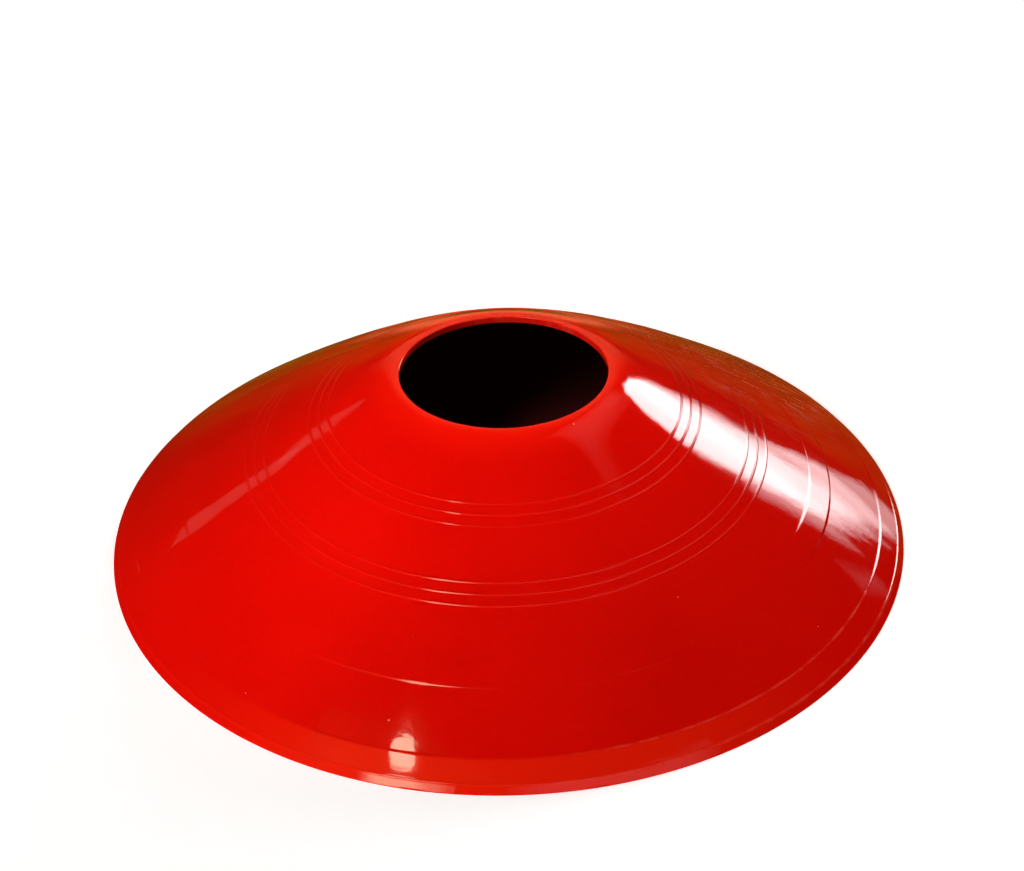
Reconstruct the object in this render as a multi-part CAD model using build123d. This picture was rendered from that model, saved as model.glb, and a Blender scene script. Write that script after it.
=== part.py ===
from build123d import *
import math
import os

# Low disc marker cone: one thin moulded shell, a surface of revolution about +Z.
# Origin at the centre of the base plane, millimetres.

# ---- driving dimensions ----------------------------------------------------
RIM_R = 95.0            # outer radius at the rim
WALL = 1.2              # moulded wall thickness, normal to the surface
HEIGHT = 44.7           # ground to the flat land round the hole
BORE_R = 24.0           # radius of the top hole
EDGE_HI, EDGE_LO = 0.2, 0.1   # rounding of the hole's upper and lower edges
LAND = 0.67             # hole edge to the start of the lip's rounding
LIP_R = 8.0             # outside radius of the rounding from the land into the wall

TOP_SLOPE = 0.550       # wall slope (fall over run) just below the lip
SHOULDER_R, SHOULDER_Z = 84.0, 8.87   # where the wall starts to turn down to the rim
SHOULDER_ARC = 300.0    # radius of that turn, in section
BAND_R = 93.6           # where the turn ends and the steeper rim edge begins
RIM_SLOPE = 1.08        # slope (fall over run) of the rim edge
RIM_FILLET = 0.25       # rounding between the sloped rim edge and its short upright face
FOOT_EDGE = 0.1         # rounding under the upright face
FOOT_IN_R = 92.9        # inner radius of the flat foot
FOOT_STEP = 0.5         # height of the upright inner face of the foot

# Moulded rings on the outer wall: radius, width, height above the wall.
FINE = (0.50, 0.16)
BOLD = (0.80, 0.24)
RINGS = [
    (41.35, *FINE), (43.62, *FINE), (45.92, *FINE),  # upper group of three
    (57.07, *FINE), (59.36, *FINE), (61.58, *FINE),  # middle group of three
    (71.91, *BOLD), (76.85, *FINE),                  # lower pair
    (89.18, *BOLD),                                  # ring on the turn
    (93.60, 0.70, 0.18),                             # ring beside the rim edge
]


def at(centre, radius, deg):
    a = math.radians(deg)
    return (centre[0] + radius * math.cos(a), centre[1] + radius * math.sin(a))


# ---- outer wall: an arc of large radius, tangent to the lip ------------------
lip_c = (BORE_R + LAND, HEIGHT - LIP_R)
top_deg = 90.0 - math.degrees(math.atan(TOP_SLOPE))      # direction of the wall's normal at the lip
wall_top = at(lip_c, LIP_R, top_deg)
shoulder = (SHOULDER_R, SHOULDER_Z)

# The arc leaves wall_top at TOP_SLOPE and passes through the shoulder: its centre lies on the normal at wall_top.
n = (math.cos(math.radians(top_deg)), math.sin(math.radians(top_deg)))
dx, dz = shoulder[0] - wall_top[0], shoulder[1] - wall_top[1]
ARC_R = -(dx * dx + dz * dz) / (2.0 * (dx * n[0] + dz * n[1]))
arc_c = (wall_top[0] - ARC_R * n[0], wall_top[1] - ARC_R * n[1])

# The shoulder arc is tangent to the wall arc, so the two centres and the shoulder are in line.
sn = ((shoulder[0] - arc_c[0]) / ARC_R, (shoulder[1] - arc_c[1]) / ARC_R)
turn_c = (shoulder[0] - SHOULDER_ARC * sn[0], shoulder[1] - SHOULDER_ARC * sn[1])
band_z = turn_c[1] + math.sqrt(SHOULDER_ARC ** 2 - (BAND_R - turn_c[0]) ** 2)
bn = ((BAND_R - turn_c[0]) / SHOULDER_ARC, (band_z - turn_c[1]) / SHOULDER_ARC)
rn = (RIM_SLOPE / math.hypot(1.0, RIM_SLOPE), 1.0 / math.hypot(1.0, RIM_SLOPE))


def outer_at(r, inset=0.0):
    """Point at radius r on the plain outer surface, moved in by inset, and the unit normal there."""
    for centre, radius, limit in ((arc_c, ARC_R, shoulder[0] - inset * sn[0]),
                                  (turn_c, SHOULDER_ARC, BAND_R - inset * bn[0])):
        if r <= limit + 1e-9:
            rad = radius - inset
            z = centre[1] + math.sqrt(rad ** 2 - (r - centre[0]) ** 2)
            return (r, z), ((r - centre[0]) / rad, (z - centre[1]) / rad)
    z0 = band_z - inset * bn[1]
    return (r, z0 - RIM_SLOPE * (r - BAND_R + inset * bn[0])), rn


# ---- rim: sloped edge, short upright face, flat foot --------------------------------------
edge_deg = math.degrees(math.atan(RIM_SLOPE))
corner_z = outer_at(RIM_R)[0][1]                         # where the sloped edge's line meets the upright face
tangent = RIM_FILLET * math.tan(math.radians((90.0 - edge_deg) / 2.0))
slope_end = (RIM_R - tangent * math.cos(math.radians(edge_deg)),
            corner_z + tangent * math.sin(math.radians(edge_deg)))
edge_top = (RIM_R, corner_z - tangent)
edge_c = (RIM_R - RIM_FILLET, edge_top[1])
foot_c = (RIM_R - FOOT_EDGE, FOOT_EDGE)

# ---- underside: the same surfaces, one wall thickness in ---------------------
in_top = at(lip_c, LIP_R - WALL, top_deg)
in_shoulder = (shoulder[0] - WALL * sn[0], shoulder[1] - WALL * sn[1])
foot_top = (FOOT_IN_R, FOOT_STEP)
in_end = outer_at(FOOT_IN_R - 1.2, WALL)[0]              # a short ramp thickens the rim above the foot

# ---- profile in the XZ half-plane ---------------------------------------------
edges = []


def line(a, b):
    edges.append(Edge.make_line((a[0], 0, a[1]), (b[0], 0, b[1])))


def arc(a, m, b):
    edges.append(Edge.make_three_point_arc((a[0], 0, a[1]), (m[0], 0, m[1]), (b[0], 0, b[1])))


def wall_run(a, b):
    """Plain outer surface from radius a to radius b, in one piece for each of its arcs and the line at the rim."""
    for cut in (SHOULDER_R, BAND_R):
        if a < cut - 1e-9 and b > cut + 1e-9:
            wall_run(a, cut)
            wall_run(cut, b)
            return
    pa, pb = outer_at(a)[0], outer_at(b)[0]
    if b <= BAND_R + 1e-9:
        arc(pa, outer_at((a + b) / 2.0)[0], pb)
    else:
        line(pa, pb)


# hole wall, its upper edge, the land and the lip's rounding
under = HEIGHT - WALL
bore_low = (BORE_R, under + EDGE_LO)
bore_top = (BORE_R, HEIGHT - EDGE_HI)
line(bore_low, bore_top)
arc(bore_top, at((BORE_R + EDGE_HI, HEIGHT - EDGE_HI), EDGE_HI, 135.0), (BORE_R + EDGE_HI, HEIGHT))
line((BORE_R + EDGE_HI, HEIGHT), (BORE_R + LAND, HEIGHT))
arc((BORE_R + LAND, HEIGHT), at(lip_c, LIP_R, (90.0 + top_deg) / 2.0), wall_top)

# outer wall with its rings, from the lip to the rim
r_now = wall_top[0]
for ring_r, width, height in RINGS:
    r0, r1 = ring_r - width / 2.0, ring_r + width / 2.0
    wall_run(r_now, r0)
    p, nrm = outer_at(ring_r)
    arc(outer_at(r0)[0], (p[0] + nrm[0] * height, p[1] + nrm[1] * height), outer_at(r1)[0])
    r_now = r1
line(outer_at(r_now)[0], slope_end)

# rim edge and foot
arc(slope_end, at(edge_c, RIM_FILLET, (90.0 - edge_deg) / 2.0), edge_top)
line(edge_top, (RIM_R, FOOT_EDGE))
arc((RIM_R, FOOT_EDGE), at(foot_c, FOOT_EDGE, -45.0), (RIM_R - FOOT_EDGE, 0.0))
line((RIM_R - FOOT_EDGE, 0.0), (FOOT_IN_R, 0.0))
line((FOOT_IN_R, 0.0), foot_top)
line(foot_top, in_end)

# underside of the wall and of the lip, lower edge of the hole
arc(in_end, outer_at((in_end[0] + in_shoulder[0]) / 2.0, WALL)[0], in_shoulder)
arc(in_shoulder, outer_at((in_shoulder[0] + in_top[0]) / 2.0, WALL)[0], in_top)
arc(in_top, at(lip_c, LIP_R - WALL, (90.0 + top_deg) / 2.0), (BORE_R + LAND, under))
line((BORE_R + LAND, under), (BORE_R + EDGE_LO, under))
arc((BORE_R + EDGE_LO, under), at((BORE_R + EDGE_LO, under + EDGE_LO), EDGE_LO, 225.0), bore_low)

profile = Face(Wire(edges))
cone_shell = revolve(profile, axis=Axis.Z, revolution_arc=360.0)
cone_shell = cone_shell.solids()[0] if len(cone_shell.solids()) == 1 else cone_shell
cone_shell.label = "cone_shell"

os.makedirs("parts", exist_ok=True)
export_step(cone_shell, "parts/cone_shell.step")

bb = cone_shell.bounding_box()
print("wall arc radius", round(ARC_R, 1), "turn ends at slope", round(bn[0] / bn[1], 4), "upright from", round(edge_top[1], 3))
print("size", [round(v, 3) for v in (bb.size.X, bb.size.Y, bb.size.Z)], "z", round(bb.min.Z, 4), round(bb.max.Z, 4))
print("volume mm3", round(cone_shell.volume, 1), "valid", cone_shell.is_valid)
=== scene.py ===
import math

import bpy
import numpy as np
from mathutils import Matrix, Vector


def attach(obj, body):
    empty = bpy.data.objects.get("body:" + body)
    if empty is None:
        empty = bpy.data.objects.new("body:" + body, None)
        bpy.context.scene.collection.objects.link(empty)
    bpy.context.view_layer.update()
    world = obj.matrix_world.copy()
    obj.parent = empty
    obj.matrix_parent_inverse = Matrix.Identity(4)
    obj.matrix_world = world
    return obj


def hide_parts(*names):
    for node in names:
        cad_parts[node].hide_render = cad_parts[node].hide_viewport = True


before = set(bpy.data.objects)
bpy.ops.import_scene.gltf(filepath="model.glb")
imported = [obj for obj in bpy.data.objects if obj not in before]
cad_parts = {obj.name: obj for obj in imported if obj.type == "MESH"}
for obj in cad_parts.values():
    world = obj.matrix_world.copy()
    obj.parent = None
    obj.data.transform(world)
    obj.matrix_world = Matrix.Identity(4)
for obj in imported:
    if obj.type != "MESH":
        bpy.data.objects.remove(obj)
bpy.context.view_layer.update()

scene = bpy.context.scene
MM = 0.001

# ---------------------------------------------------------------- shell section (millimetres)
RIM_R, WALL, BORE_R, HEIGHT = 95.0, 1.2, 24.0, 44.7
EDGE_HI, EDGE_LO, LAND, LIP_R = 0.2, 0.1, 0.67, 8.0
TOP_SLOPE = 0.550
SHOULDER_R, SHOULDER_Z, SHOULDER_ARC, BAND_R = 84.0, 8.87, 300.0, 93.6
RIM_SLOPE, RIM_FILLET, FOOT_EDGE, FOOT_IN_R, FOOT_STEP = 1.08, 0.25, 0.1, 92.9, 0.5
# Moulded rings: radius, width, height, kind. A bead is a fine raised line; up and down are the edges of a
# slightly raised band; fall is an edge whose band sinks back into the wall before the rim.
RINGS = [
    (41.35, 0.60, 0.075, "bead"), (43.62, 0.60, 0.075, "bead"), (45.92, 0.60, 0.075, "bead"),
    (57.07, 0.60, 0.075, "bead"), (59.36, 0.60, 0.075, "bead"), (61.58, 0.60, 0.075, "bead"),
    (71.91, 0.80, 0.068, "up"), (76.85, 0.50, 0.080, "down"),
    (89.18, 0.56, 0.070, "fall"), (93.60, 0.56, 0.070, "bead"),
]
# how far each ring stands out at azimuths round the cone (degrees, share); the rest lie between
EVEN = [(-180, 0.85), (0, 0.85)]
STANDS = [EVEN] * 6 + [
    [(-175, 0.25), (-135, 0.25), (-118, 0.9), (-100, 0.9), (-90, 0.4), (-50, 0.4), (-20, 1.0), (70, 1.0), (120, 0.4)],
    EVEN,
    [(-175, 0.25), (-135, 0.3), (-118, 0.8), (-100, 0.8), (-80, 0.5), (-52, 0.5), (-34, 1.0), (70, 1.0), (120, 0.4)],
    [(-175, 0.3), (-130, 0.6), (-100, 0.7), (-80, 0.5), (-55, 0.9), (-20, 1.0), (60, 1.0), (120, 0.5)],
]

lip_c = (BORE_R + LAND, HEIGHT - LIP_R)
top_a = math.pi / 2 - math.atan(TOP_SLOPE)
wall_top = (lip_c[0] + LIP_R * math.cos(top_a), lip_c[1] + LIP_R * math.sin(top_a))
nx, nz = math.cos(top_a), math.sin(top_a)
dx, dz = SHOULDER_R - wall_top[0], SHOULDER_Z - wall_top[1]
ARC_R = -(dx * dx + dz * dz) / (2 * (dx * nx + dz * nz))
arc_c = (wall_top[0] - ARC_R * nx, wall_top[1] - ARC_R * nz)
sn = ((SHOULDER_R - arc_c[0]) / ARC_R, (SHOULDER_Z - arc_c[1]) / ARC_R)
turn_c = (SHOULDER_R - SHOULDER_ARC * sn[0], SHOULDER_Z - SHOULDER_ARC * sn[1])
band_z = turn_c[1] + math.sqrt(SHOULDER_ARC ** 2 - (BAND_R - turn_c[0]) ** 2)
bn = ((BAND_R - turn_c[0]) / SHOULDER_ARC, (band_z - turn_c[1]) / SHOULDER_ARC)
rn = (RIM_SLOPE / math.hypot(1, RIM_SLOPE), 1 / math.hypot(1, RIM_SLOPE))


# Above EASE_R the wall flattens gradually into the land round the hole, which stays at full height.
EASE_R = 40.0
hole_edge = BORE_R + EDGE_HI
ease_r = np.linspace(EASE_R, hole_edge, 401)
ease_s = (ease_r - arc_c[0]) / np.sqrt(ARC_R ** 2 - (ease_r - arc_c[0]) ** 2)
ease_t = ((EASE_R - ease_r) / (EASE_R - hole_edge)) ** 4.6
ease_z = arc_c[1] + math.sqrt(ARC_R ** 2 - (EASE_R - arc_c[0]) ** 2)


def run_up(values):
    return np.r_[0.0, np.cumsum((values[1:] + values[:-1]) / 2 * -np.diff(ease_r))]


ease_k = (run_up(ease_s)[-1] - (HEIGHT - ease_z)) / run_up(ease_s * ease_t)[-1]
ease_s = ease_s * (1 - ease_k * ease_t)
ease_z = ease_z + run_up(ease_s)


def outer_at(r, inset=0.0):
    if inset == 0.0 and r < EASE_R:
        slope = float(np.interp(r, ease_r[::-1], ease_s[::-1]))
        return r, float(np.interp(r, ease_r[::-1], ease_z[::-1])), slope / math.hypot(1, slope), 1 / math.hypot(1, slope)
    for c, rad, lim in ((arc_c, ARC_R, SHOULDER_R - inset * sn[0]), (turn_c, SHOULDER_ARC, BAND_R - inset * bn[0])):
        if r <= lim + 1e-9:
            q = rad - inset
            z = c[1] + math.sqrt(q * q - (r - c[0]) ** 2)
            return r, z, (r - c[0]) / q, (z - c[1]) / q
    return r, band_z - inset * bn[1] - RIM_SLOPE * (r - BAND_R + inset * bn[0]), rn[0], rn[1]


band_a = math.atan(RIM_SLOPE)
corner_z = outer_at(RIM_R)[1]
tan_len = RIM_FILLET * math.tan((math.pi / 2 - band_a) / 2)
band_end = (RIM_R - tan_len * math.cos(band_a), corner_z + tan_len * math.sin(band_a))
edge_top = (RIM_R, corner_z - tan_len)
in_top = (lip_c[0] + (LIP_R - WALL) * math.cos(top_a), lip_c[1] + (LIP_R - WALL) * math.sin(top_a))
in_end_r = FOOT_IN_R - 1.2

# Each row of the lathe: (r, z, ring index or -1, share of the ring's height, normal r, normal z, zone)
rows = []


def put(r, z, n=(0.0, 0.0), ring=-1, share=0.0, zone=0):
    rows.append((r, z, ring, share, n[0], n[1], zone))


def arc_rows(c, rad, a0, a1, count, zone, skip_first=True):
    for i in range(1 if skip_first else 0, count + 1):
        a = a0 + (a1 - a0) * i / count
        put(c[0] + rad * math.cos(a), c[1] + rad * math.sin(a), (math.cos(a), math.sin(a)), zone=zone)


# lower edge of the hole, hole wall, upper edge, land, lip's rounding (zone 1)
UNDER = HEIGHT - WALL
arc_rows((BORE_R + EDGE_LO, UNDER + EDGE_LO), EDGE_LO, -math.pi / 2, -math.pi, 3, 1, skip_first=False)
for t in (0.33, 0.67, 1.0):
    put(BORE_R, UNDER + EDGE_LO + (WALL - EDGE_LO - EDGE_HI) * t, (-1.0, 0.0), zone=1)
arc_rows((BORE_R + EDGE_HI, HEIGHT - EDGE_HI), EDGE_HI, math.pi, math.pi / 2, 6, 1)
for i in range(1, 13):
    r, z, u, v = outer_at(hole_edge + (wall_top[0] - hole_edge) * i / 12)
    put(r, min(z, HEIGHT), (u, v), zone=1)

# outer wall (zone 2) with its rings
stops = []
r_now = wall_top[0]
for k, (rr, w, h, kind) in enumerate(RINGS):
    stops.append((r_now, rr - w / 2, None, k))
    stops.append((rr - w / 2, rr + w / 2, k, k))
    r_now = rr + w / 2
stops.append((r_now, band_end[0], None, len(RINGS)))
for a, b, k, nxt in stops:
    if k is None:
        count = max(2, int(math.ceil((b - a) / (1.3 if a < EASE_R else 2.4))))
        # closer rows beside a ring keep the wall's shading flat up to its foot
        ts = [0.0] + [i / count for i in range(1, count + 1)]
        near = 0.12 / (b - a)
        if near < 0.5 / count:
            ts = sorted(set(ts + [near, 1 - near]))
        last = RINGS[nxt - 1][3] if nxt > 0 else ""
        for t in ts[1:]:
            r, z, u, v = outer_at(a + (b - a) * t)
            if last == "up":
                put(r, z, (u, v), ring=nxt - 1, share=1.0, zone=2)
            elif last == "fall":
                put(r, z, (u, v), ring=nxt - 1, share=1.0 - t, zone=2)
            else:
                put(r, z, (u, v), zone=2)
    else:
        rr, w, h, kind = RINGS[k]
        steps = 7
        for i in range(1, steps + 1):
            e = -1 + 2 * i / steps
            r, z, u, v = outer_at(rr + e * w / 2)
            if kind == "bead":
                put(r, z, (u, v), ring=k, share=math.cos(e * math.pi / 2) ** 2 if abs(e) < 1 else 0.0, zone=2)
            elif kind == "down":
                put(r, z, (u, v), ring=k - 1, share=0.5 - 0.5 * math.sin(e * math.pi / 2), zone=2)
            else:
                put(r, z, (u, v), ring=k, share=0.5 + 0.5 * math.sin(e * math.pi / 2), zone=2)

# rim edge and foot (zone 3)
arc_rows((RIM_R - RIM_FILLET, edge_top[1]), RIM_FILLET, math.pi / 2 - band_a, 0.0, 8, 3)
put(RIM_R, FOOT_EDGE, (1.0, 0.0), zone=3)
arc_rows((RIM_R - FOOT_EDGE, FOOT_EDGE), FOOT_EDGE, 0.0, -math.pi / 2, 4, 3)
put((RIM_R - FOOT_EDGE + FOOT_IN_R) / 2, 0.0, (0.0, -1.0), zone=3)
put(FOOT_IN_R + 0.12, 0.0, (0.0, -1.0), zone=3)
put(FOOT_IN_R, 0.12, (-0.7, -0.7), zone=3)
put(FOOT_IN_R, FOOT_STEP, (-1.0, 0.0), zone=3)

# underside (zone 4)
r_in0 = in_end_r
for i in range(0, 21):
    r = r_in0 + (in_top[0] - r_in0) * i / 20
    x, z, u, v = outer_at(r, WALL)
    put(x, z, (-u, -v), zone=4)
arc_rows(lip_c, LIP_R - WALL, top_a, math.pi / 2, 8, 4)
put((BORE_R + LAND + BORE_R + EDGE_LO) / 2, UNDER, (0.0, -1.0), zone=4)

SEG = 480
P = np.array(rows, float)
ang = np.arange(SEG) * (2 * math.pi / SEG)
ca, sa = np.cos(ang), np.sin(ang)
R = np.repeat(P[:, 0:1], SEG, axis=1)
Z = np.repeat(P[:, 1:2], SEG, axis=1)
NR, NZ = P[:, 4:5], P[:, 5:6]

# Slow unevenness of a thin cooled moulding: a few hundredths of a millimetre, always inwards.
rng = np.random.default_rng(41)
wave = np.zeros_like(R)
for m in (2, 3, 5, 7, 11, 16):
    for q in (0.0, 0.035, 0.08):
        amp = 0.028 / (1 + 0.22 * m) / (1 + 6 * q)
        ph, ph2 = rng.uniform(0, 2 * math.pi, 2)
        wave += amp * np.sin(m * ang[None, :] + ph) * np.sin(q * 2 * math.pi * R / 2.0 + ph2 + 0.4 * m)
outside = np.clip((P[:, 0:1] - 28.0) / 8.0, 0, 1) * np.isin(P[:, 6:7], (2, 4))
outside = outside * np.clip((93.0 - P[:, 0:1]) / 4.0, 0, 1)
sign = np.where(P[:, 6:7] == 4, -1.0, 1.0)
wave = (wave - 0.07) * outside * sign

# Rings: each bead's height follows its list above and drifts a little, as on a worn mould.
bead = np.zeros_like(R)
deg = (np.degrees(ang) + 180.0) % 360.0 - 180.0
for k, (rr, w, h, kind) in enumerate(RINGS):
    x0, y0 = np.array(STANDS[k], float).T
    stand = np.interp(deg, x0, y0, period=360.0)
    drift = np.ones(SEG)
    for m in (1, 2, 4, 7, 13):
        drift += 0.06 * np.sin(m * ang + rng.uniform(0, 2 * math.pi))
    on = (P[:, 2] == k)[:, None]
    bead += on * P[:, 3:4] * h * (stand * np.clip(drift, 0.6, 1.25))[None, :]

push = wave + bead
R = R + NR * push
Z = Z + NZ * push

# The soft top has set slightly oval: its radius is a third of a millimetre larger along X and smaller along Y.
# Its cut edge hangs a little below the underside of the wall.
hang = np.clip((27.0 - P[:, 0:1]) / 3.0, 0, 1) * ((P[:, 6:7] == 4) | ((P[:, 6:7] == 1) & (P[:, 1:2] < HEIGHT - 0.8)))
Z = Z - 0.45 * hang * hang * (3 - 2 * hang)
oval = np.clip((47.0 - P[:, 0:1]) / 19.0, 0, 1)
R = R + 0.32 * np.cos(2 * ang)[None, :] * oval * oval * (3 - 2 * oval)

# Nicks along the rim edge: short shallow dents.
for _ in range(34):
    a0 = rng.uniform(0, 2 * math.pi)
    half = rng.uniform(1.3, 2.2) / RIM_R
    deep = rng.uniform(0.05, 0.20)
    dist = np.abs((ang - a0 + math.pi) % (2 * math.pi) - math.pi)
    dent = deep * np.clip(1 - (dist / half) ** 2, 0, None)
    touch = (P[:, 6] == 3) & (P[:, 0] > RIM_R - 0.9) & (P[:, 1] > 0.1)
    R[touch] -= dent[None, :]

n_rows = len(P)
verts = np.empty((n_rows * SEG, 3))
verts[:, 0] = (R * ca[None, :]).ravel() * MM
verts[:, 1] = (R * sa[None, :]).ravel() * MM
verts[:, 2] = np.maximum(Z, 0.0).ravel() * MM

faces = []
for i in range(n_rows):
    j = (i + 1) % n_rows
    for s in range(SEG):
        t = (s + 1) % SEG
        faces.append((i * SEG + s, j * SEG + s, j * SEG + t, i * SEG + t))

mesh = bpy.data.meshes.new("marker_shell")
mesh.from_pydata(verts.tolist(), [], faces)
mesh.validate()
mesh.update()
if mesh.polygons[0].normal.length == 0:
    raise SystemExit("degenerate shell")
shell = bpy.data.objects.new("marker_shell", mesh)
scene.collection.objects.link(shell)
mesh.polygons.foreach_set("use_smooth", np.ones(len(mesh.polygons), bool))

# paler edges: the rim's edge is real wear; the ring crests are painted paler as a highlight on the beads
crest = np.where(np.isin(P[:, 2], (6, 8)), 0.0, P[:, 3])
wear_and_sheen = np.repeat(crest[:, None], SEG, axis=1) * 0.25
wear_and_sheen[(P[:, 6] == 3) & (P[:, 1] > 0.1)] = 1.0
# the two outer rings are palest at the front right
outer_pale = np.interp(deg, (-88.0, -70.0, -25.0, -5.0), (0.0, 1.0, 1.0, 0.0))
outer_two = np.clip(1 - np.abs(P[:, 0] - 89.18) / 0.30, 0, 1) + np.clip(1 - np.abs(P[:, 0] - 93.60) / 0.34, 0, 1)
wear_and_sheen = np.maximum(wear_and_sheen, 2.6 * (outer_two * (P[:, 6] == 2))[:, None] * outer_pale[None, :])
# the cut face of the hole is painted pale, as a painted highlight on its lit face
wear_and_sheen[(P[:, 6] == 1) & (P[:, 0] < BORE_R + 0.15)] = 1.0
attr = mesh.attributes.new("edge_wear_and_sheen", "FLOAT", "POINT")
attr.data.foreach_set("value", wear_and_sheen.ravel().astype(np.float32))

# painted shade: dark lines in the feet of the fine rings and on the down step, on the +X side where they cross the
# bright reflection
foot = np.where((P[:, 2] >= 0) & (P[:, 2] < 6), np.clip(1 - np.abs(P[:, 3] - 0.25) / 0.35, 0, 1), 0.0)
foot = np.where((P[:, 2] == 6) & (P[:, 0] > 76.0) & (P[:, 3] < 0.98), 4 * P[:, 3] * (1 - P[:, 3]), foot)
side = np.interp(deg, (-32.0, -12.0, 65.0, 95.0), (0.0, 1.0, 1.0, 0.0))
attr = mesh.attributes.new("ring_foot_shade", "FLOAT", "POINT")
attr.data.foreach_set("value", (foot[:, None] * side[None, :]).ravel().astype(np.float32))

# painted sheen: the thin band between the ring on the turn and the rim's edge is painted paler at the front, as the
# light it catches there
thin = np.clip((P[:, 0] - 88.9) / 0.7, 0, 1) * np.isin(P[:, 6], (2, 3))
front = np.interp(deg, (-148.0, -132.0, -112.0, -68.0, -40.0), (0.0, 0.25, 1.0, 1.0, 0.0))
attr = mesh.attributes.new("painted_rim_sheen", "FLOAT", "POINT")
attr.data.foreach_set("value", (thin[:, None] * front[None, :]).ravel().astype(np.float32))

# UV map: u round the cone, v along the section
uv = mesh.uv_layers.new(name="OFBake")
seg_len = np.hypot(np.diff(np.r_[P[:, 0], P[0, 0]]), np.diff(np.r_[P[:, 1], P[0, 1]]))
along = np.r_[0.0, np.cumsum(seg_len)]
along = along / along[-1]
uvs = np.empty((len(faces), 4, 2), np.float32)
f = 0
for i in range(n_rows):
    v0, v1 = along[i], along[i + 1]
    for s in range(SEG):
        u0, u1 = s / SEG, (s + 1) / SEG
        uvs[f] = ((u0, v0), (u0, v1), (u1, v1), (u1, v0))
        f += 1
uv.data.foreach_set("uv", uvs.ravel())


# ---------------------------------------------------------------- material
def node(tree, kind, at=(0, 0), **sockets):
    n = tree.nodes.new(kind)
    n.location = at
    for key, value in sockets.items():
        setattr(n, key, value)
    return n


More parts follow.
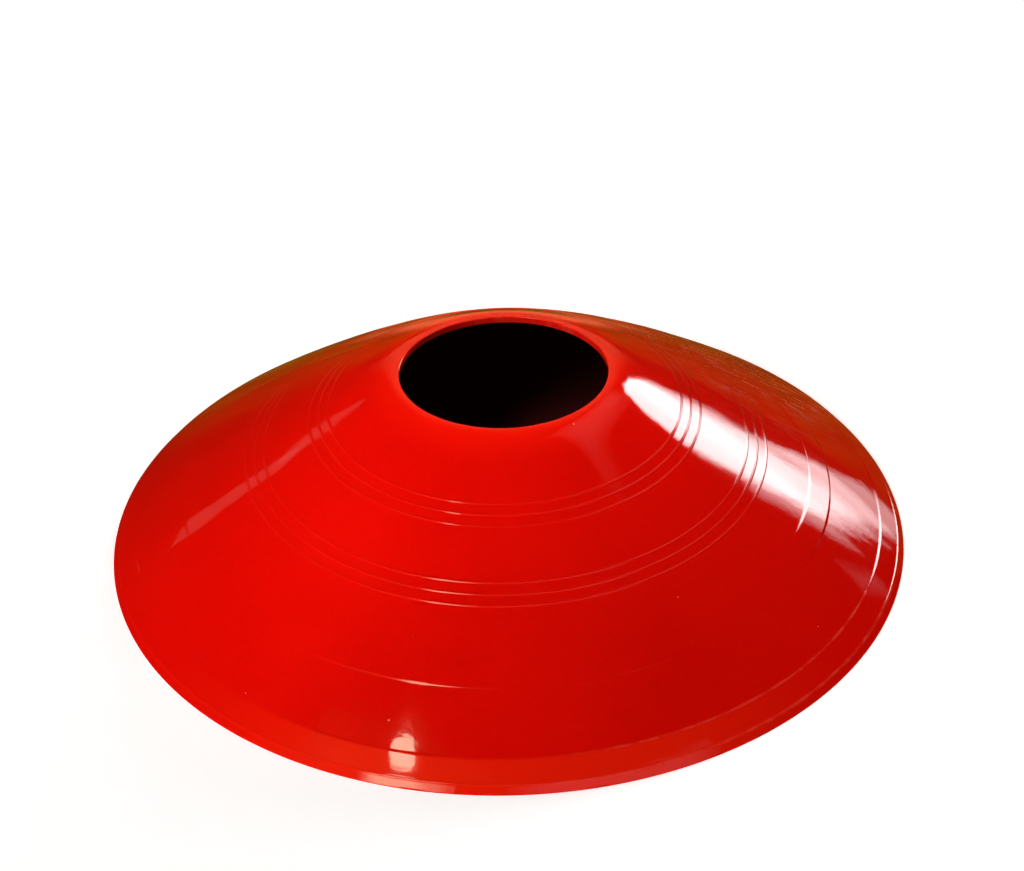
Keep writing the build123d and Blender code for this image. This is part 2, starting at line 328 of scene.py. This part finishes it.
def red_plastic():
    mat = bpy.data.materials.new("red_gloss_plastic")
    mat.use_nodes = True
    t = mat.node_tree
    t.nodes.clear()
    link = t.links.new
    out = node(t, "ShaderNodeOutputMaterial", (1700, 0))
    bsdf = node(t, "ShaderNodeBsdfPrincipled", (1400, 0))
    link(bsdf.outputs["BSDF"], out.inputs["Surface"])
    bsdf.inputs["IOR"].default_value = 1.48
    place = node(t, "ShaderNodeTexCoord", (-1800, 0)).outputs["Object"]

    def calc(op, a, b=0.0, clamp=False):
        n = node(t, "ShaderNodeMath", operation=op, use_clamp=clamp)
        for i, v in enumerate((a, b)):
            if isinstance(v, (int, float)):
                n.inputs[i].default_value = v
            else:
                link(v, n.inputs[i])
        return n.outputs[0]

    def span(v, lo, hi, to_lo=0.0, to_hi=1.0):
        n = node(t, "ShaderNodeMapRange", interpolation_type="SMOOTHSTEP", clamp=True)
        link(v, n.inputs["Value"])
        for key, x in (("From Min", lo), ("From Max", hi), ("To Min", to_lo), ("To Max", to_hi)):
            n.inputs[key].default_value = x
        return n.outputs["Result"]

    def noise(vec, scale, detail=2.0, rough=0.5):
        n = node(t, "ShaderNodeTexNoise")
        link(vec, n.inputs["Vector"])
        n.inputs["Scale"].default_value = scale
        n.inputs["Detail"].default_value = detail
        n.inputs["Roughness"].default_value = rough
        return n.outputs["Fac"]

    def turned(deg_z, scale, shift=(0.0, 0.0, 0.0)):
        n = node(t, "ShaderNodeMapping")
        link(place, n.inputs["Vector"])
        n.inputs["Rotation"].default_value = (0, 0, math.radians(deg_z))
        n.inputs["Scale"].default_value = scale
        n.inputs["Location"].default_value = shift
        return n.outputs["Vector"]

    def blend(fac, a, b):
        n = node(t, "ShaderNodeMix", data_type="RGBA")
        link(fac, n.inputs[0]) if not isinstance(fac, float) else None
        for i, c in ((6, a), (7, b)):
            if isinstance(c, tuple):
                n.inputs[i].default_value = (*c, 1)
            else:
                link(c, n.inputs[i])
        return n.outputs[2]

    # distance from the axis, and how near a point is to the most handled patch of the wall
    flat = node(t, "ShaderNodeVectorMath", operation="MULTIPLY")
    link(place, flat.inputs[0])
    flat.inputs[1].default_value = (1, 1, 0)
    far = node(t, "ShaderNodeVectorMath", operation="LENGTH")
    link(flat.outputs["Vector"], far.inputs[0])
    radius = far.outputs["Value"]
    gap = node(t, "ShaderNodeVectorMath", operation="DISTANCE")
    link(flat.outputs["Vector"], gap.inputs[0])
    gap.inputs[1].default_value = (0.058, 0.050, 0.0)
    handled = span(gap.outputs["Value"], 0.052, 0.020)

    # colour: slow mottling, fine pigment grain, a paler lip that is painted light on the top and the hole's cut face
    slow = noise(place, 24.0, 3.0, 0.55)
    grain = noise(place, 950.0, 2.0, 0.6)
    red = blend(span(slow, 0.30, 0.70), (0.690, 0.0016, 0.0002), (0.755, 0.0022, 0.0004))
    red = blend(calc("MULTIPLY", span(grain, 0.35, 0.75), 0.30), red, (0.80, 0.0034, 0.0008))
    # painted light: the top round the hole and its cut face are painted paler
    lip_light_mask = span(radius, 0.0340, 0.0240)
    red = blend(lip_light_mask, red, (0.860, 0.0046, 0.0006))
    # painted sheen on the thin rim band at the front
    rim_sheen_mask = node(t, "ShaderNodeAttribute", attribute_name="painted_rim_sheen")
    red = blend(calc("MULTIPLY", rim_sheen_mask.outputs["Fac"], 0.80), red, (0.890, 0.0125, 0.0016))

    # hairline scratches: three directions of long thin streaks, gathered in patches
    scratch = None
    for k, (turn, long, fine, cut) in enumerate(((38.0, 150.0, 2400.0, 0.66), (64.0, 110.0, 2200.0, 0.67), (-31.0, 130.0, 2300.0, 0.68), (4.0, 95.0, 2000.0, 0.69))):
        line = noise(turned(turn, (long, fine, 0.0), (3.1 * k, 7.7 * k, 0.0)), 1.0, 1.5, 0.4)
        line = span(line, cut - 0.035, cut + 0.02)
        patch = span(noise(turned(15.0 * k, (45.0, 45.0, 45.0), (9.0 * k, 2.0, 5.0)), 1.0, 2.0, 0.5), 0.50, 0.68)
        amount = calc("ADD", calc("MULTIPLY", patch, 0.03), calc("MULTIPLY", calc("MULTIPLY", handled, calc("ADD", patch, 0.25)), 1.1), clamp=True)
        line = calc("MULTIPLY", line, amount)
        scratch = line if scratch is None else calc("MAXIMUM", scratch, line)

    for k, (turn, long, fine, cut) in enumerate(((28.0, 80.0, 1150.0, 0.68), (82.0, 90.0, 1250.0, 0.68), (-18.0, 95.0, 1350.0, 0.69), (55.0, 75.0, 1100.0, 0.685))):
        line = span(noise(turned(turn, (long, fine, 0.0), (1.7 * k, 4.3 * k, 0.0)), 1.0, 2.0, 0.45), cut - 0.02, cut + 0.02)
        scratch = calc("MAXIMUM", scratch, calc("MULTIPLY", line, handled))

    # specks: sparse round grains of dust and small pits
    cells = node(t, "ShaderNodeTexVoronoi", feature="F1")
    link(place, cells.inputs["Vector"])
    cells.inputs["Scale"].default_value = 190.0
    pick = node(t, "ShaderNodeSeparateColor")
    link(cells.outputs["Color"], pick.inputs["Color"])
    chosen = span(calc("ADD", pick.outputs["Red"], calc("MULTIPLY", handled, 0.18)), 0.90, 0.94)
    size = calc("ADD", calc("ADD", calc("MULTIPLY", pick.outputs["Green"], 0.028), 0.022), calc("MULTIPLY", handled, 0.035))
    speck = calc("LESS_THAN", cells.outputs["Distance"], size)
    speck = calc("MULTIPLY", speck, chosen)

    # worn rim edge, with painted highlight on the ring crests and the hole's cut edge
    edge = node(t, "ShaderNodeAttribute", attribute_name="edge_wear_and_sheen")
    rub = span(noise(place, 260.0, 3.0, 0.6), 0.42, 0.66)
    wear_and_sheen_mask = calc("MULTIPLY", edge.outputs["Fac"], calc("ADD", calc("MULTIPLY", rub, 0.75), 0.15), clamp=True)

    # pale edges: real wear on the rim, painted highlight on the ring crests and the hole's cut edge
    pale = blend(calc("MULTIPLY", wear_and_sheen_mask, 0.45), red, (0.86, 0.060, 0.034))
    pale = blend(calc("MULTIPLY", scratch, 0.65), pale, (0.88, 0.110, 0.060))
    pale = blend(calc("MULTIPLY", speck, 0.75), pale, (0.90, 0.200, 0.130))
    # painted shade: dark lines in the ring feet on the +X side
    ring_foot_shade = node(t, "ShaderNodeAttribute", attribute_name="ring_foot_shade")
    pale = blend(calc("MULTIPLY", ring_foot_shade.outputs["Fac"], 0.75), pale, (0.10, 0.006, 0.004))
    link(pale, bsdf.inputs["Base Color"])

    # gloss: smooth with faint smudges, duller in scratches, on the worn rim edge and on the highlight-painted edges
    smudge = span(noise(place, 60.0, 4.0, 0.6), 0.40, 0.75)
    gloss = calc("ADD", calc("MULTIPLY", smudge, 0.018), 0.045)
    gloss = calc("ADD", gloss, calc("MULTIPLY", scratch, 0.25))
    gloss = calc("ADD", gloss, calc("MULTIPLY", speck, 0.30))
    gloss = calc("ADD", gloss, calc("MULTIPLY", wear_and_sheen_mask, 0.10))
    link(gloss, bsdf.inputs["Roughness"])

    # relief: slow ripple of the moulding, fine grain, scratches cut in
    def relief(height, distance, before=None):
        n = node(t, "ShaderNodeBump")
        n.inputs["Strength"].default_value = 1.0
        n.inputs["Distance"].default_value = distance
        link(height, n.inputs["Height"])
        if before is not None:
            link(before, n.inputs["Normal"])
        return n.outputs["Normal"]

    bump = relief(noise(place, 140.0, 3.0, 0.5), 0.000036)
    bump = relief(noise(place, 1300.0, 2.0, 0.5), 0.0000022, bump)
    bump = relief(calc("SUBTRACT", calc("MULTIPLY", speck, 0.7), scratch), 0.000012, bump)
    link(bump, bsdf.inputs["Normal"])
    return mat


shell.data.materials.append(red_plastic())
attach(shell, "root")
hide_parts("cone_shell")


# ---------------------------------------------------------------- stage
def plain(name, colour, rough, glow=0.0):
    m = bpy.data.materials.new(name)
    m.use_nodes = True
    b = m.node_tree.nodes["Principled BSDF"]
    b.inputs["Base Color"].default_value = (*colour, 1)
    b.inputs["Roughness"].default_value = rough
    b.inputs["Specular IOR Level"].default_value = 0.0
    b.inputs["Emission Color"].default_value = (1, 1, 1, 1)
    b.inputs["Emission Strength"].default_value = glow
    return m


bpy.ops.mesh.primitive_plane_add(size=8, location=(0, 0, 0))
floor = bpy.context.object
floor.name = "floor"
floor.data.materials.append(plain("floor_pale", (0.90, 0.90, 0.90), 0.8, 0.42))
floor.visible_glossy = False
# painted shade: a dark disc on the floor under the cone stands in for the shade inside the hollow
bpy.ops.mesh.primitive_circle_add(vertices=96, radius=0.0940, fill_type="NGON", location=(0, 0, 0.0002))
shade_disc = bpy.context.object
shade_disc.name = "painted_shade_under_cone"
shade_disc.data.materials.append(plain("painted_shade_dark", (0.090, 0.012, 0.012), 0.9))


# ---------------------------------------------------------------- lights
def panel(name, az, el, wide_deg, high_deg, radiance, dist=20.0, roll=0.0, colour=(1, 1, 1), glossy=True, diffuse=True, shape="RECTANGLE"):
    """Rectangular soft light, placed and sized by the angles it fills as seen from the cone."""
    data = bpy.data.lights.new(name, "AREA")
    data.shape = shape
    data.size = 2 * dist * math.tan(math.radians(wide_deg) / 2)
    data.size_y = 2 * dist * math.tan(math.radians(high_deg) / 2)
    data.energy = radiance * math.pi * data.size * data.size_y * (math.pi / 4 if shape == "ELLIPSE" else 1.0)
    data.color = colour
    o = bpy.data.objects.new(name, data)
    a, e = math.radians(az), math.radians(el)
    o.location = (dist * math.cos(e) * math.cos(a), dist * math.cos(e) * math.sin(a), dist * math.sin(e) + 0.02)
    q = (Vector((0, 0, 0.02)) - o.location).to_track_quat("-Z", "Y")
    o.rotation_euler = (q.to_matrix() @ Matrix.Rotation(math.radians(roll), 3, "Z")).to_euler()
    scene.collection.objects.link(o)
    o.visible_camera = False
    o.visible_glossy = glossy
    o.visible_diffuse = diffuse
    return o


def soft(name, az, el, wide_deg, high_deg, radiance, edge=1.2, **more):
    """Three nested panels that together fade at the edges."""
    for i, grow in enumerate((-1.0, 0.0, 1.0)):
        away = 20.0 + 0.2 * len(bpy.data.lights)
        panel(f"{name}_{i}", az, el, wide_deg + grow * edge, high_deg + grow * edge, radiance / 3, dist=away, diffuse=False, **more)


def pool(name, az, el, dist, at, radius, watts, blend=1.0):
    """Soft round pool of light on one part of the cone."""
    data = bpy.data.lights.new(name, "SPOT")
    data.energy = watts
    data.spot_size = 2 * math.atan(radius / dist)
    data.spot_blend = blend
    data.shadow_soft_size = 0.05
    o = bpy.data.objects.new(name, data)
    a, e = math.radians(az), math.radians(el)
    o.location = Vector(at) + Vector((math.cos(e) * math.cos(a), math.cos(e) * math.sin(a), math.sin(e))) * dist
    o.rotation_euler = (Vector(at) - o.location).to_track_quat("-Z", "Y").to_euler()
    scene.collection.objects.link(o)
    o.visible_camera = False
    o.visible_glossy = False
    return o


# what the gloss mirrors: a bright window at the back right that fades towards its foot, a window at the front left
soft("right_window", 49.4, 23.5, 15.2, 13.0, 5.5, edge=1.5)
soft("right_window_mid", 49.4, 22.5, 15.6, 15.0, 5.5, edge=1.5)
soft("right_window_wide", 50.0, 21.5, 15.4, 17.0, 3.6, edge=1.8)
soft("right_window_deep", 50.4, 20.5, 13.4, 19.0, 3.4, edge=1.8)
soft("right_window_low", 46.6, 12.8, 6.2, 6.5, 3.5, edge=1.8)
soft("right_window_sill", 49.5, 9.8, 8.8, 8.5, 2.6)
soft("right_window_foot", 50.0, 5.5, 8.0, 9.0, 2.0)
soft("right_window_side", 40.0, 21.0, 3.0, 8.5, 3.0, edge=1.5)
soft("right_gap", 33.0, 18.5, 2.6, 5.5, 0.35, roll=20)
soft("right_high", 46.0, 52.0, 16.0, 34.0, 0.42, edge=4.0, roll=32, colour=(1, 0.92, 0.75))
soft("front_window", -124.5, 41.5, 11.0, 25.0, 5.0, edge=2.0, colour=(1, 0.90, 0.60))
soft("front_window_wide", -121.0, 41.5, 17.0, 25.0, 3.5, edge=3.0, colour=(1, 0.90, 0.60))
panel("front_pane", -133.8, 59.8, 5.8, 4.4, 12.5, colour=(1, 0.97, 0.68), diffuse=False, shape="ELLIPSE")
soft("front_band", -116.0, 56.0, 46.0, 8.0, 0.34, edge=7.0, colour=(1, 0.55, 0.16))
soft("front_fill_gloss", -60.0, 42.0, 40.0, 25.0, 0.5, edge=6.0)
panel("left_gap", 134.9, 17.8, 4.2, 8.4, 0.30, roll=24, colour=(1, 0.95, 0.75), diffuse=False)
panel("left_gap_high", 130.6, 20.4, 5.2, 3.0, 0.28, roll=15, colour=(1, 0.95, 0.75), diffuse=False)

# what lights the plastic
panel("key", -140.0, 41.0, 31.0, 26.0, 9.2, glossy=False)
panel("right_key", 50.0, 20.0, 21.5, 17.0, 17.6, glossy=False)
panel("front_fill", -90.0, 22.0, 45.0, 22.0, 0.7, glossy=False)
pool("front_left_pool", -128.0, 50.0, 1.5, (-50 * MM, -42 * MM, 0.022), 0.050, 46.0)
pool("lip_pool", 90.0, 87.0, 1.5, (0, 0, HEIGHT * MM), 0.044, 76.0)

# surroundings: dim, a low glow behind, warm and dark below the horizon; pale where seen directly
world = bpy.data.worlds.new("studio")
scene.world = world
world.use_nodes = True
wt = world.node_tree
bg = wt.nodes["Background"]
coord = node(wt, "ShaderNodeTexCoord", (-1200, 0))
axes = node(wt, "ShaderNodeSeparateXYZ", (-1000, 0))
wt.links.new(coord.outputs["Generated"], axes.inputs["Vector"])


def fade(value, lo, hi, to_lo=0.0, to_hi=1.0):
    n = node(wt, "ShaderNodeMapRange", interpolation_type="SMOOTHSTEP", clamp=True)
    wt.links.new(value, n.inputs["Value"])
    for key, x in (("From Min", lo), ("From Max", hi), ("To Min", to_lo), ("To Max", to_hi)):
        n.inputs[key].default_value = x
    return n.outputs["Result"]


def tint(fac, a, b):
    n = node(wt, "ShaderNodeMix", data_type="RGBA")
    wt.links.new(fac, n.inputs[0])
    for i, c in ((6, a), (7, b)):
        if isinstance(c, tuple):
            n.inputs[i].default_value = (*c, 1)
        else:
            wt.links.new(c, n.inputs[i])
    return n.outputs[2]


def times(a, b):
    n = node(wt, "ShaderNodeMath", operation="MULTIPLY")
    wt.links.new(a, n.inputs[0])
    wt.links.new(b, n.inputs[1])
    return n.outputs[0]


level = node(wt, "ShaderNodeVectorMath", operation="MULTIPLY")
wt.links.new(coord.outputs["Generated"], level.inputs[0])
level.inputs[1].default_value = (1, 1, 0)
level_unit = node(wt, "ShaderNodeVectorMath", operation="NORMALIZE")
wt.links.new(level.outputs["Vector"], level_unit.inputs[0])
level_axes = node(wt, "ShaderNodeSeparateXYZ")
wt.links.new(level_unit.outputs["Vector"], level_axes.inputs["Vector"])
behind = times(fade(level_axes.outputs["Y"], 0.89, 0.985), times(fade(axes.outputs["Z"], 0.04, 0.22), fade(axes.outputs["Z"], 0.98, 0.55)))
low = fade(axes.outputs["Z"], 0.03, -0.03)
patchy = node(wt, "ShaderNodeTexNoise")
wt.links.new(coord.outputs["Generated"], patchy.inputs["Vector"])
patchy.inputs["Scale"].default_value = 22.0
patchy.inputs["Detail"].default_value = 3.0
earth = tint(fade(patchy.outputs["Fac"], 0.35, 0.68), (0.070, 0.046, 0.002), (0.150, 0.100, 0.004))
sky = tint(behind, (0.030, 0.014, 0.003), (0.36, 0.32, 0.14))
earth = tint(fade(level_axes.outputs["X"], -0.15, -0.48), earth, (0.022, 0.010, 0.001))
sky = tint(low, sky, earth)
across = node(wt, "ShaderNodeMath", operation="ABSOLUTE")
wt.links.new(level_axes.outputs["X"], across.inputs[0])
lit_ground = times(times(fade(across.outputs[0], 0.16, 0.10), fade(level_axes.outputs["Y"], 0.5, 0.9)), times(fade(axes.outputs["Z"], -0.45, -0.30), fade(axes.outputs["Z"], 0.12, 0.02)))
sky = tint(lit_ground, sky, (1.00, 0.22, 0.08))
seen = node(wt, "ShaderNodeLightPath")
sky = tint(seen.outputs["Is Camera Ray"], sky, (0.95, 0.95, 0.95))
wt.links.new(sky, bg.inputs["Color"])
bg.inputs["Strength"].default_value = 1.0

# ---------------------------------------------------------------- camera
F_PX, DIST, ELEV = 2350.0, 6.0095 * RIM_R * MM, math.radians(36.645)
YAW, PITCH, ROLL = math.radians(0.161), math.radians(2.176), math.radians(-1.641)
C = Vector((0, -DIST * math.cos(ELEV), DIST * math.sin(ELEV)))
fwd = -C.normalized()
right = Vector((1, 0, 0))
up = right.cross(fwd)
f2 = fwd * math.cos(YAW) + right * math.sin(YAW)
r2 = right * math.cos(YAW) - fwd * math.sin(YAW)
f3 = f2 * math.cos(PITCH) + up * math.sin(PITCH)
u3 = up * math.cos(PITCH) - f2 * math.sin(PITCH)
r4 = r2 * math.cos(ROLL) + u3 * math.sin(ROLL)
u4 = u3 * math.cos(ROLL) - r2 * math.sin(ROLL)
cam_data = bpy.data.cameras.new("camera")
cam_data.sensor_fit = "HORIZONTAL"
cam_data.sensor_width = 36.0
cam_data.lens = 36.0 * F_PX / 1024
cam_data.clip_start, cam_data.clip_end = 0.01, 50
cam = bpy.data.objects.new("camera", cam_data)
scene.collection.objects.link(cam)
m = Matrix.Identity(4)
for i in range(3):
    m[i][0], m[i][1], m[i][2], m[i][3] = r4[i], u4[i], -f3[i], C[i]
cam.matrix_world = m
scene.camera = cam

scene.view_settings.view_transform = "Standard"
scene.view_settings.look = "None"
